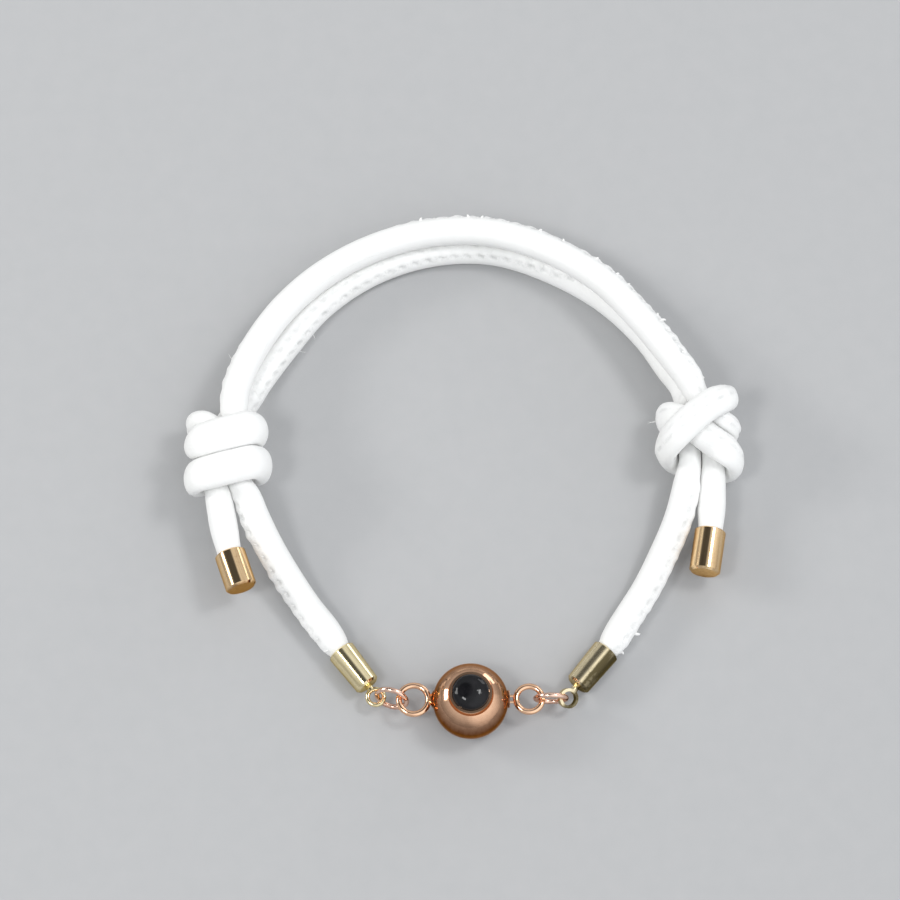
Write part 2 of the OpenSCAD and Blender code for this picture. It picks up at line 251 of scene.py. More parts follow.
# Frayed bits: how far along the cord, way out, length, thickness, bend along the cord
FRAYED_LEFT = (
    (83.8, (-0.17, 0.82, 0.54), 0.4, 0.5, 0.5),
    (90.5, (0.02, 0.84, 0.54), 0.35, 0.45, -0.4),
    (92.3, (0.07, 0.84, 0.55), 0.3, 0.4, 0.6),
    (100.3, (0.32, 0.8, 0.5), 0.35, 0.5, 0.4),
    (103.6, (0.39, 0.77, 0.5), 0.3, 0.4, -0.5),
    (108.7, (0.5, 0.71, 0.5), 0.4, 0.45, 0.5),
    (112.5, (0.6, 0.66, 0.46), 0.35, 0.5, 0.3),
    (114.3, (0.63, 0.62, 0.46), 0.3, 0.4, 0.6),
    (120.8, (0.7, 0.58, 0.42), 0.35, 0.45, -0.5),
    (121.7, (0.71, 0.57, 0.42), 0.55, 0.55, 0.7),
    (131.8, (0.86, 0.34, 0.38), 0.25, 0.4, 0.3),
    (153.9, (-0.96, -0.28, 0), 1.6, 0.06, 0.9),
    (154.3, (-0.9, -0.3, 0.3), 1.3, 0.05, -0.8),
    (153.3, (-0.93, -0.2, 0.25), 1.1, 0.06, 0.2),
    (49.9, (-0.87, 0.37, 0.34), 0.8, 0.07, 0.6))
FRAYED_RIGHT = (
    (8.8, (0.85, -0.52, 0.05), 0.6, 0.55, 0.4),
    (5.9, (0.79, -0.61, 0), 0.35, 0.4, -0.3),
    (112.8, (0.79, -0.6, -0.12), 0.7, 0.07, 0.6),
    (115.8, (0.81, -0.58, -0.12), 0.8, 0.06, -0.5))


# Sweeping a cord

RING_STEP = 0.3
STITCH_PITCH = 2.0
HOLE_AWAY = 0.82      # from the seam to each row of holes
SLANT_SHARE = 0.25    # how much a stitch slants, in pitches for each millimetre across
STITCH_SUNK = 0.05    # how deep the leather draws the thread in
PLAIN_END = 4.8       # at each end of a cord the relief starts this far in, and grows over 1 mm

# The relief of the leather. CHANCE in a name says how far chance moves what it begins with.
WELT_HALF, WELT_HALF_CHANCE = 0.9, 0.12
WELT_HEIGHT, WELT_HEIGHT_CHANCE = 0.1, 0.05
LUMP_HEIGHT, LUMP_HEIGHT_CHANCE = 0.155, 0.1
HOLE_DEPTH, HOLE_DEPTH_CHANCE = 0.22, 0.1
HOLE_ACROSS = 0.3
HOLE_ALONG = 0.2      # in pitches, as is the next
HOLE_PLACE_CHANCE = 0.05
SLANT_CHANCE = 0.08
KNOT_SWELL, KNOT_SWELL_CHANCE = 0.065, 0.03

# Columns of points round the cord: millimetres of arc from the seam, close together beside it
NEAR_SEAM = np.array([0.12, 0.24, 0.36, 0.48, 0.6, 0.72, 0.86, 1.04, 1.28])
FAR_COLUMNS = 22
COLUMNS = np.concatenate([
    -NEAR_SEAM[::-1], [0], NEAR_SEAM,
    np.linspace(NEAR_SEAM[-1], 2 * math.pi * CORD_R - NEAR_SEAM[-1], FAR_COLUMNS + 1)[1:-1]])


def unit(v):
    return v / np.linalg.norm(v, axis=-1, keepdims=True)


def knot_axes(knot):
    """A knot's middle and its across, along and out directions."""
    lean, pitch = math.radians(knot[2]), math.radians(knot[3])
    along = np.array([math.sin(lean) * math.cos(pitch), math.cos(lean) * math.cos(pitch),
                      math.sin(pitch)])
    across = knot[1] * np.array([math.cos(lean), -math.sin(lean), 0])
    return np.array(knot[0], float), across, along, np.cross(across, along)


def in_knot(rows, knot):
    middle, across, along, out = knot_axes(knot)
    rows = np.array(rows, float)
    places = middle + rows[:, :1] * across + rows[:, 1:2] * along + rows[:, 2:3] * out
    return np.hstack([places, rows[:, 3:]])


def smooth(rows, step):
    """Rows close together on a smooth curve through all the rows, and where each of them went."""
    gap = np.linalg.norm(np.diff(rows[:, :3], axis=0), axis=1)[:, None]
    s = np.diff(rows, axis=0) / gap
    between = (s[:-1] * gap[1:] + s[1:] * gap[:-1]) / (gap[:-1] + gap[1:])
    slope = np.vstack([s[:1], between, s[-1:]])
    fine, went = [], []
    for i in range(len(rows) - 1):
        went.append(len(fine))
        parts = max(1, math.ceil(float(gap[i, 0]) / step))
        for u in np.arange(parts) / parts:
            fine.append((1 + 2 * u) * (1 - u) ** 2 * rows[i]
                        + u * (1 - u) ** 2 * gap[i] * slope[i]
                        + u * u * (3 - 2 * u) * rows[i + 1]
                        + u * u * (u - 1) * gap[i] * slope[i + 1])
    went.append(len(fine))
    fine.append(rows[-1])
    return np.array(fine), went


def carried_frame(places):
    """Tangents, and two directions square to them that don't turn round the cord."""
    n = len(places) - 1
    near = np.arange(n + 1)
    tangent = unit(places[np.minimum(near + 1, n)] - places[np.maximum(near - 1, 0)])
    normal = [unit(np.cross(np.cross(tangent[0], [0, 0, 1]), tangent[0]))]
    for t in tangent[1:]:
        v = normal[-1]
        normal.append(unit(v - t * (v @ t)))
    normal = np.array(normal)
    return tangent, normal, np.cross(tangent, normal)


def thin_ways(places):
    """The way in which a knot presses the cord flat, and how much it does so, from 0 to 1."""
    way = np.tile([0.0, 0.0, 1.0], (len(places), 1))
    nearest = np.full(len(places), np.inf)
    for knot in (LEFT_KNOT, RIGHT_KNOT):
        middle, across, along, out = knot_axes(knot)
        q = places - middle
        a, far = q @ across, np.linalg.norm(q, axis=1)
        away = (a - np.clip(a, -CORE_HALF, CORE_HALF))[:, None] * across + (q @ out)[:, None] * out
        use = (far < nearest) & (far < KNOT_REACH)
        way[use] = away[use]
        nearest = np.minimum(nearest, far)
    return way, np.clip((PRESSED_END - nearest) / PRESSED_FADE, 0, 1)


class Cord:
    """The lines of one cord: its places, its sections and where its seam runs. strong is the side
    of the seam, 1 or -1, on which the stitch holes are deep, and weak how deep the other side's
    are along the cord, as a share. faded is the share of the seam's marks that is lost in the
    knots, and quiet the share that shows along the cord. proud is how much higher the welt
    stands along the cord."""

    def __init__(self, parts, knots, seam, strong, weak, faded, quiet, proud, seed):
        self.strong = strong
        rows = [in_knot(p, k) if k else np.array(p, float) for p, k in zip(parts, knots)]
        starts = np.cumsum([0] + [len(r) for r in rows])
        fine, went = smooth(np.vstack(rows), RING_STEP)
        self.places, self.half = fine[:, :3], fine[:, 3:]
        self.tangent, self.normal, self.side = carried_frame(self.places)
        self.run = np.concatenate(
            [[0], np.cumsum(np.linalg.norm(np.diff(self.places, axis=0), axis=1))])
        way, self.pressed = thin_ways(self.places)
        self.marked = (1 - faded * self.pressed) * np.interp(self.run, *quiet)
        self.proud = np.interp(self.run, *proud)
        self.weak = np.interp(self.run, *weak)
        self.thin = np.arctan2((way * self.side).sum(1), (way * self.normal).sum(1))
        self.chance = np.random.default_rng(seed)

        at, angle = [], []
        for part, row, direction in seam:
            direction = np.array(direction, float)
            if knots[part]:
                _, across, along, out = knot_axes(knots[part])
                direction = direction[0] * across + direction[1] * along + direction[2] * out
            i = went[starts[part] + row]
            a = math.atan2(direction @ self.side[i], direction @ self.normal[i])
            if angle:
                a += 2 * math.pi * round((angle[-1] - a) / (2 * math.pi))
            at.append(self.run[i])
            angle.append(a)
        self.seam = np.interp(self.run, at, angle)

    def reach(self, angle):
        """Distance from the middle line to the pressed section's edge, at each ring's angles."""
        c = np.cos(angle - self.thin[:, None]) / self.half[:, :1]
        s = np.sin(angle - self.thin[:, None]) / self.half[:, 1:]
        return 1 / np.sqrt(c * c + s * s)

    def relief(self, offset):
        """Height of the leather over its plain section, at each point's offset from the seam: a
        soft welt over the seam, in lumps between the stitches, with a dimple at each hole. In a
        knot the strands swell a little."""
        stitch = self.run / STITCH_PITCH
        number = np.round(stitch).astype(int)
        beat = (stitch - number)[:, None]
        own = self.chance.uniform(-1, 1, (4, number.max() + 2))
        depth, shift, tilt = (row[number][:, None] for row in own[:3])
        lump_size = own[3][np.floor(stitch).astype(int)][:, None]
        swell, lean, ragged = self.wander(3.0), self.wander(1.6), self.wander(0.55)
        away, side = np.abs(offset), np.where(offset * self.strong > 0, 1, self.weak[:, None])
        lump = np.sin(math.pi * stitch)[:, None] ** 2
        welt = np.exp(-(away / (WELT_HALF + WELT_HALF_CHANCE * lean)) ** 2) * (
            WELT_HEIGHT + (LUMP_HEIGHT + LUMP_HEIGHT_CHANCE * lump_size) * lump
            + WELT_HEIGHT_CHANCE * ragged + self.proud[:, None])
        slanted = (beat + (SLANT_SHARE + SLANT_CHANCE * tilt) * self.strong * offset
                   + HOLE_PLACE_CHANCE * shift)
        hole = (np.exp(-((away - HOLE_AWAY) / HOLE_ACROSS) ** 2)
                * np.exp(-(slanted / HOLE_ALONG) ** 2) * side
                * (HOLE_DEPTH + HOLE_DEPTH_CHANCE * depth))
        swollen = (KNOT_SWELL + KNOT_SWELL_CHANCE * swell) * self.pressed[:, None]
        height = (welt - hole) * self.marked[:, None] + swollen
        ends = np.clip(np.minimum(self.run, self.run[-1] - self.run) - PLAIN_END, 0, 1)
        return height * ends[:, None]

    def wander(self, pitch):
        """Smooth chance between -1 and 1 along the cord, with a new value every pitch."""
        count = int(self.run[-1] / pitch) + 2
        values = self.chance.uniform(-1, 1, count)
        return np.interp(self.run / pitch, np.arange(count), values)[:, None]

    def rings(self):
        """Every ring's points, with each column's distance from the seam."""
        offset = COLUMNS.copy()
        offset[offset > math.pi * CORD_R] -= 2 * math.pi * CORD_R
        offset = np.tile(offset, (len(self.places), 1))
        angle = self.seam[:, None] + offset / CORD_R
        r = self.reach(angle) + self.relief(offset)
        out = (np.cos(angle)[..., None] * self.normal[:, None]
               + np.sin(angle)[..., None] * self.side[:, None])
        rings = self.places[:, None] + r[..., None] * out
        rings[..., 2] = np.maximum(rings[..., 2], 0)
        return rings, offset

    def seam_line(self):
        """Points on the seam, the way out of the leather there, and the way along it."""
        angle = self.seam[:, None]
        out = np.cos(angle) * self.normal + np.sin(angle) * self.side
        return self.places + (self.reach(angle) - STITCH_SUNK) * out, out, self.tangent


# What changes along a cord is given as distances and the values there
LEFT = Cord((FRONT_LEFT, THROUGH, ARC_OUTER, TYING, RIGHT_TAIL),
            (None, LEFT_KNOT, None, RIGHT_KNOT, None),
            SEAM_LEFT,
            strong=1,
            weak=((0,), (0.5,)),
            faded=0.45,
            quiet=((10, 15), (0.55, 1)),
            proud=((0,), (0,)),
            seed=3)
RIGHT = Cord((FRONT_RIGHT, THROUGH, ARC_INNER, TYING, LEFT_TAIL),
             (None, RIGHT_KNOT, None, LEFT_KNOT, None),
             SEAM_RIGHT,
             strong=-1,
             weak=((0, 34, 44, 60, 75), (0.7, 0.6, 0.15, 0.15, 0.45)),
             faded=0.75,
             quiet=((30, 50), (0.75, 1)),
             proud=((26, 29.5, 33, 37, 40), (0, 0.36, 0.7, 0.7, 0)),
             seed=8)


def new_mesh(name, points, faces):
    """A piece from points in millimetres and its faces, smooth, at the origin."""
    mesh = bpy.data.meshes.new(name)
    mesh.from_pydata((np.asarray(points, float) * MM).tolist(), [], faces)
    mesh.polygons.foreach_set("use_smooth", [True] * len(mesh.polygons))
    mesh.validate()
    return in_scene(name, mesh)


def tube_faces(rings, sides, first=0):
    """The faces of a closed tube whose points go round it ring by ring, from number first on."""
    ring = first + np.arange(rings - 1)[:, None] * sides
    k = np.arange(sides)[None]
    nxt = (k + 1) % sides
    quads = np.stack([ring + k, ring + nxt, ring + nxt + sides, ring + k + sides], -1)
    last = first + (rings - 1) * sides
    ends = [list(range(first + sides - 1, first - 1, -1)), list(range(last, last + sides))]
    return quads.reshape(-1, 4).tolist() + ends


def add_values(mesh, name, values):
    mesh.attributes.new(name, "FLOAT", "POINT").data.foreach_set("value", np.ravel(values))


def cord_tube(name, cord):
    """The leather of a cord, with what its material reads at each point."""
    rings, offset = cord.rings()
    count, sides = offset.shape
    piece = new_mesh(name, rings.reshape(-1, 3), tube_faces(count, sides))
    add_values(piece.data, "from_seam", offset * cord.strong)
    for key, values in (("run", cord.run), ("marked", cord.marked), ("weak", cord.weak)):
        add_values(piece.data, key, np.repeat(values, sides))
    return piece


# Materials

class Value:
    """A socket that sums can be written with."""

    def __init__(self, paint, socket):
        self.paint, self.socket = paint, socket

    def maths(self, operation, *values):
        return self.paint.node("ShaderNodeMath", {"operation": operation},
                               dict(enumerate(values)))

    def __add__(self, other): return self.maths("ADD", self, other)
    def __radd__(self, other): return self.maths("ADD", other, self)
    def __sub__(self, other): return self.maths("SUBTRACT", self, other)
    def __rsub__(self, other): return self.maths("SUBTRACT", other, self)
    def __mul__(self, other): return self.maths("MULTIPLY", self, other)
    def __rmul__(self, other): return self.maths("MULTIPLY", other, self)
    def __truediv__(self, other): return self.maths("DIVIDE", self, other)
    def __rtruediv__(self, other): return self.maths("DIVIDE", other, self)
    def __abs__(self): return self.maths("ABSOLUTE", self)

    def above(self, low, high):
        """0 below low, 1 above high, smooth between."""
        return self.paint.node("ShaderNodeMapRange", {"interpolation_type": "SMOOTHSTEP"},
                               {"Value": self, "From Min": low, "From Max": high})


class Paint:
    """A material made of nodes."""

    def __init__(self, name):
        self.material = bpy.data.materials.new(name)
        self.material.use_nodes = True
        self.tree = self.material.node_tree
        self.tree.nodes.clear()

    def node(self, kind, settings=None, sockets=None, output=0):
        """One output of a new node, whose sockets take plain values or a Value."""
        plain = {key: value.socket if isinstance(value, Value) else value
                 for key, value in (sockets or {}).items()}
        return Value(self, add_node(self.tree, kind, settings, plain).outputs[output])

    def place(self):
        return self.node("ShaderNodeTexCoord", output="Object")

    def own(self, name):
        """What the mesh keeps under that name."""
        return self.node("ShaderNodeAttribute", {"attribute_name": name}, output="Fac")

    def noise(self, size, detail=3.0, rough=0.55, where=None, seed=0.0):
        """Soft random patches of about that size, in millimetres."""
        return self.node("ShaderNodeTexNoise", {"noise_dimensions": "4D"}, {
            "Vector": where or self.place(), "W": seed, "Scale": 1 / (size * MM),
            "Detail": detail, "Roughness": rough})

    def cells(self, size):
        """Distance to the edges of cells of about that size, in millimetres."""
        return self.node("ShaderNodeTexVoronoi", {"feature": "DISTANCE_TO_EDGE"},
                         {"Vector": self.place(), "Scale": 1 / (size * MM)})

    def mix(self, share, a, b):
        """Colour a where share is 0, colour b where it is 1."""
        return self.node("ShaderNodeMix", {"data_type": "RGBA"}, {
            0: share,
            6: a if isinstance(a, Value) else (*a, 1),
            7: b if isinstance(b, Value) else (*b, 1)}, output=2)

    def turned(self, way, stretch):
        """Object places in the axes of a piece that points that way, shrunk along it."""
        turn = Vector(way).to_track_quat("Z", "Y").inverted().to_euler()
        return self.node("ShaderNodeVectorMath", {"operation": "MULTIPLY"}, {
            0: self.node("ShaderNodeMapping", {"vector_type": "POINT"},
                         {"Vector": self.place(), "Rotation": turn}),
            1: (1, 1, stretch)})

    def bump(self, height, distance, strength=1.0, onto=None):
        """Relief of that many millimetres from a height between 0 and 1."""
        sockets = {"Height": height, "Distance": distance * MM, "Strength": strength}
        if onto:
            sockets["Normal"] = onto
        return self.node("ShaderNodeBump", None, sockets)

    def finished(self, **sockets):
        """The material, with these sockets on its surface."""
        words = {key.replace("_", " "): value for key, value in sockets.items()}
        surface = self.node("ShaderNodeBsdfPrincipled", None, words)
        add_node(self.tree, "ShaderNodeOutputMaterial", None, {"Surface": surface.socket})
        return self.material


CREAM, WHITE = (0.87, 0.872, 0.856), (0.9, 0.9, 0.895)
WORN_GREY, HOLE_AND_SHADE_GREY = (0.56, 0.565, 0.55), (0.36, 0.37, 0.36)


def leather():
    """White sewn leather: fine grain, faint blotches, grey at the stitch holes, partly the holes'
    own grey and partly painted shade in their dimples, and worn patches along the seam, which are
    weaker where a knot stretches the leather."""
    p = Paint("white_leather")
    off, run, marked = p.own("from_seam"), p.own("run"), p.own("marked")
    away = abs(off)
    wander, broken = p.noise(0.7, 2.0) - 0.5, p.noise(0.35, 3.0, seed=7.0)
    chance = 0.15 + p.noise(2.6, 1.0, seed=9.0).above(0.35, 0.68) * 0.85
    beat = run / STITCH_PITCH + wander * 0.14
    beat = beat - beat.maths("ROUND", beat)
    weak = p.own("weak")
    side = weak + off.above(-0.2, 0.2) * (1 - weak)
    slanted = abs(beat + off * SLANT_SHARE)
    hole = ((1 - abs(away - HOLE_AWAY + wander * 0.4).above(0.06, 0.55))
            * (1 - slanted.above(0.06, 0.44)) * side * marked * (0.5 + broken * 0.9) * chance)
    used = p.noise(0.42, 4.0, 0.75, seed=2.0).above(0.46, 0.66)
    soiled = (1 - abs(away - 0.85).above(0.15, 0.75)) * used * side * marked
    blotch = p.noise(6.0, 3.0, seed=1.0).above(0.35, 0.7)
    colour = p.mix(blotch * 0.6, CREAM, WHITE)
    colour = p.mix(soiled * 0.45, colour, WORN_GREY)
    # Grey at each stitch hole: partly the hole's own grey, partly painted shade in its dimple.
    colour = p.mix(hole * 0.46, colour, HOLE_AND_SHADE_GREY)
    grain = p.cells(0.22).above(0.0, 0.25)
    pores = p.noise(0.09, 2.0)
    creases = p.noise(0.8, 4.0, 0.6, seed=4.0)
    relief = p.bump(grain * 0.7 + pores * 0.3, 0.012)
    relief = p.bump(creases, 0.05, 0.7, relief)
    rough = 0.44 + p.noise(2.5, 3.0, seed=6.0) * 0.16 + hole * 0.2
    return p.finished(Base_Color=colour, Roughness=rough, Normal=relief,
                      Specular_IOR_Level=0.4, Coat_Weight=0.04)


def thread():
    """Twisted white sewing thread."""
    p = Paint("white_thread")
    lay = p.noise(0.12, 2.0)
    colour = p.mix(lay.above(0.3, 0.7), (0.82, 0.822, 0.8), (0.9, 0.9, 0.89))
    return p.finished(Base_Color=colour, Roughness=0.7, Normal=p.bump(lay, 0.02))


BODY_EDGE = 0.15      # millimetres over which the painted shade ends at the edge of a round body
SIDE_SHADE = 0.85     # how dark the painted shade on one side of a cap gets


def metal(name, light, dark, way, rough, streak, low, high, fleck, painted_shade_share=0.75, within=None,
          beside=None, banded=0.35, relief=0.0018):
    """Plated metal: fine lines along the way it was drawn or turned, longer for a small streak,
    dull flecks as strong as fleck, and painted shade in the dark tone, standing in for the
    reflection of a dark floor, growing from height high down to height low up to the share of
    painted shade given. within is the middle and radius of the round body that this painted shade
    stays on. The point, way and distances given for one side put painted shade on that side of
    the metal, coming on between those distances. banded is how dark the lines are, relief how deep."""
    p = Paint(name)
    lines = p.noise(0.12, 2.0, 0.5, where=p.turned(way, streak))
    bands = p.noise(0.6, 2.0, 0.5, where=p.turned(way, streak), seed=3.0)
    worn = p.noise(0.5, 4.0, 0.65, seed=5.0).above(0.5, 0.72)
    wear_and_painted_shade = bands.above(0.4, 0.65) * banded + worn * fleck
    height = p.node("ShaderNodeSeparateXYZ", None, {0: p.place()}, output="Z")
    # Painted shade, standing in for a dark floor's reflection: the dark tone grows towards the
    # bottom.
    painted_low_shade = (1 - height.above(low * MM, high * MM)) * painted_shade_share
    if within:
        middle, radius = within
        far = p.node("ShaderNodeVectorMath", {"operation": "DISTANCE"},
                     {0: p.place(), 1: Vector(middle) * MM}, output="Value")
        painted_low_shade = painted_low_shade * (1 - far.above(radius * MM, (radius + BODY_EDGE) * MM))
    wear_and_painted_shade = wear_and_painted_shade + painted_low_shade
    # Painted shade on one side of the metal, from a point, a way and two distances.
    if beside:
        point, side_way, near, past = beside
        side_way = Vector(side_way).normalized()
        across = p.node("ShaderNodeVectorMath", {"operation": "DOT_PRODUCT"},
                        {0: p.place(), 1: side_way}, output="Value")
        across = across - Vector(point).dot(side_way) * MM
        wear_and_painted_shade = wear_and_painted_shade + across.above(near * MM, past * MM) * SIDE_SHADE
    colour = p.mix(wear_and_painted_shade.maths("MINIMUM", wear_and_painted_shade, 1.0), light, dark)
    return p.finished(Base_Color=colour, Metallic=1.0, Specular_Tint=(*light, 1),
                      Roughness=rough + lines * 0.06 + worn * (0.2 * fleck),
                      Normal=p.bump(lines * 0.8 + worn * (0.4 * fleck), relief))


def black_stone():
    """Polished black stone with the faintest cloud in it."""
    p = Paint("black_stone")
    cloud = p.noise(1.1, 4.0, 0.6).above(0.4, 0.8)
    polish = p.noise(0.4, 3.0, seed=2.0)
    return p.finished(Base_Color=p.mix(cloud, (0.006, 0.006, 0.007), (0.014, 0.013, 0.015)),
                      Roughness=0.04 + cloud * 0.03, Normal=p.bump(polish, 0.002),
                      Specular_IOR_Level=0.25)


def pale_floor():
    """Dull pale grey with soft patches."""
    p = Paint("pale_floor")
    colour = p.mix(p.noise(3.0, 4.0), (0.41, 0.415, 0.42), (0.445, 0.447, 0.45))
    return p.finished(Base_Color=colour, Roughness=0.75)


# Stitches

def stitch_tree():
    """Slanting stitches on points that say which way is out of the leather and along the seam."""
    tree = bpy.data.node_groups.new("stitches", "GeometryNodeTree")
    face = tree.interface
    names = [("Seam", "Geometry"), ("Thread", "Float"), ("Width", "Float"), ("Slant", "Float"),
             ("Height", "Float"), ("Unevenness", "Float"), ("Seed", "Int"), ("Finish", "Material")]
    for name, kind in names:
        face.new_socket(name, in_out="INPUT", socket_type="NodeSocket" + kind)
    face.new_socket("Stitches", in_out="OUTPUT", socket_type="NodeSocketGeometry")
    given = tree.nodes.new("NodeGroupInput").outputs

    def node(kind, settings=None, **sockets):
        words = {key.replace("_", " "): value for key, value in sockets.items()}
        return add_node(tree, kind, settings, words)

    def times(value, share):
        sockets = {0: value, 1: share}
        return add_node(tree, "ShaderNodeMath", {"operation": "MULTIPLY"}, sockets).outputs[0]

    def corner(x, y, z):
        return node("ShaderNodeCombineXYZ", X=x, Y=y, Z=z).outputs[0]

    half, slant = times(given["Width"], 0.5), times(given["Slant"], 0.5)
    over, low = times(given["Height"], 1.35), times(given["Thread"], -0.9)
    arch = node("GeometryNodeCurvePrimitiveBezierSegment", {"mode": "POSITION"},
                Resolution=8,
                Start=corner(times(slant, -1), times(half, -1), low),
                Start_Handle=corner(times(slant, -0.6), times(half, -0.8), over),
                End_Handle=corner(times(slant, 0.6), times(half, 0.8), over),
                End=corner(slant, half, low))
    ring = node("GeometryNodeCurvePrimitiveCircle", {"mode": "RADIUS"}, Resolution=6,
                Radius=times(given["Thread"], 0.5))
    stitch = node("GeometryNodeCurveToMesh", Curve=arch.outputs[0],
                  Profile_Curve=ring.outputs[0], Fill_Caps=True)

    out, along = (
        node("GeometryNodeInputNamedAttribute", {"data_type": "FLOAT_VECTOR"}, Name=name)
        for name in ("out", "along"))
    up = node("FunctionNodeAlignRotationToVector", {"axis": "Z"}, Vector=out.outputs[0])
    forward = node("FunctionNodeAlignRotationToVector", {"axis": "X", "pivot_axis": "Z"},
                   Rotation=up.outputs[0], Vector=along.outputs[0])
    # Sockets 2 and 3 are the lowest and highest number, which go by the same names as others
    chance = add_node(tree, "FunctionNodeRandomValue", {"data_type": "FLOAT"},
                      {"Seed": given["Seed"], 2: -1, 3: 1})
    sway = node("FunctionNodeAxisAngleToRotation", Axis=(0, 0, 1),
                Angle=times(chance.outputs[1], given["Unevenness"]))
    turned = node("FunctionNodeRotateRotation", {"rotation_space": "LOCAL"},
                  Rotation=forward.outputs[0], Rotate_By=sway.outputs[0])
    placed = node("GeometryNodeInstanceOnPoints", Points=given["Seam"],
                  Instance=stitch.outputs[0], Rotation=turned.outputs[0])
    real = node("GeometryNodeRealizeInstances", Geometry=placed.outputs[0])
    soft = node("GeometryNodeSetShadeSmooth", Geometry=real.outputs[0])
    done = node("GeometryNodeSetMaterial", Geometry=soft.outputs[0], Material=given["Finish"])
    tree.links.new(done.outputs[0], tree.nodes.new("NodeGroupOutput").inputs[0])
    return tree


def grown(name, base, tree, **inputs):
    """A plain mesh piece: what the tree makes of the base, which goes away. What would lie under
    the table's top is brought up to it."""
    modifier = base.modifiers.new(name, "NODES")
    modifier.node_group = tree
    for socket in tree.interface.items_tree:
        if socket.in_out == "INPUT" and socket.name in inputs:
            modifier[socket.identifier] = inputs[socket.name]
    bpy.context.view_layer.update()
    seen = base.evaluated_get(bpy.context.evaluated_depsgraph_get())
    mesh = bpy.data.meshes.new_from_object(seen)
    mesh.name = name
    base.modifiers.clear()
    places = np.zeros(3 * len(mesh.vertices))
    mesh.vertices.foreach_get("co", places)
    places[2::3] = np.maximum(places[2::3], 0)
    mesh.vertices.foreach_set("co", places)
    bpy.data.objects.remove(base)
    return in_scene(name, mesh)


FIRST_STITCH = 3         # in pitches from the cord's start
LAST_STITCH_OFF = 5.2    # the least distance of the last one from the cord's end
HIDDEN_FROM = 0.3        # how pressed a cord is where a knot hides its stitches


def seam_stitches(name, cord, tree, seed):
    """Stitches at every beat of the seam, left out under the caps and where a knot hides them."""
    last = int((cord.run[-1] - LAST_STITCH_OFF) / STITCH_PITCH)
    beats = np.arange(FIRST_STITCH, last + 1) * STITCH_PITCH
    beats = beats[np.interp(beats, cord.run, cord.pressed) < HIDDEN_FROM]
    points, out, along = (
        np.stack([np.interp(beats, cord.run, column) for column in values.T], -1)
        for values in cord.seam_line())
    mesh = bpy.data.meshes.new(name)
    mesh.from_pydata((points * MM).tolist(), [], [])
    for way, values in (("out", out), ("along", along)):
        kept = mesh.attributes.new(way, "FLOAT_VECTOR", "POINT")
        kept.data.foreach_set("vector", values.ravel())
    base = in_scene(name + "_line", mesh)
    return grown(name, base, tree, Thread=0.28 * MM, Width=1.4 * MM, Slant=0.75 * MM,
                 Height=0.1 * MM, Unevenness=0.3, Seed=seed, Finish=THREAD)


BIT_RINGS = 6
BIT_SIDES = 6
BIT_ROOT = 0.1        # how deep in the leather a frayed bit starts
BIT_TAPER = 0.45      # the share of its thickness that is gone at its tip


def frayed(name, cord, bits):
    """Short ends of thread and leather that stand out of the seam: thick nubs and fine hairs."""
    points, faces = [], []
    for run, way, length, thick, bend in bits:
        way = unit(np.array(way, float))
        i = int(np.searchsorted(cord.run, run))
        angle = np.full((len(cord.run), 1), math.atan2(way @ cord.side[i], way @ cord.normal[i]))
        root = cord.places[i] + (cord.reach(angle)[i, 0] - BIT_ROOT) * way
        along = cord.tangent[i]
        cross = np.cross(way, along)
        faces += tube_faces(BIT_RINGS, BIT_SIDES, len(points))
        for t in np.linspace(0, 1, BIT_RINGS):
            middle = root + way * (length + BIT_ROOT) * t + bend * along * length * t * t
            r = thick / 2 * (1 - BIT_TAPER * t * t)
            for k in range(BIT_SIDES):
                a = 2 * math.pi * k / BIT_SIDES
                points.append(middle + r * (math.cos(a) * along + math.sin(a) * cross))
    piece = new_mesh(name, points, faces)
    piece.data.materials.append(THREAD)
    return piece


# The pieces

LEATHER = leather()
THREAD = thread()
LEFT_CAP_WAY, RIGHT_CAP_WAY = (3.8, -4.95, 0), (-4.1, -5, 0)
TAIL_LEFT_WAY, TAIL_RIGHT_WAY = (1.75, -5.1, 0.1), (-1, -6.1, 0)
# Where painted shade falls on one side: the left tail cap's closed end and one side of the right
# long cap, whose copy of the pale gold has a far darker dark tone for it.
TAIL_LEFT_END = (-30.6, -17.3, 5.7)
RIGHT_CAP_MIDDLE, RIGHT_CAP_SIDE = (16.4, -28.9, 0), (5, -4.1, 0)
CHARM_MIDDLE, CHARM_REACH = (0.8, -32.9, 4.2), 5.3
ROSY_GOLD, ROSY_SHADE = (0.88, 0.64, 0.37), (0.45, 0.27, 0.13)

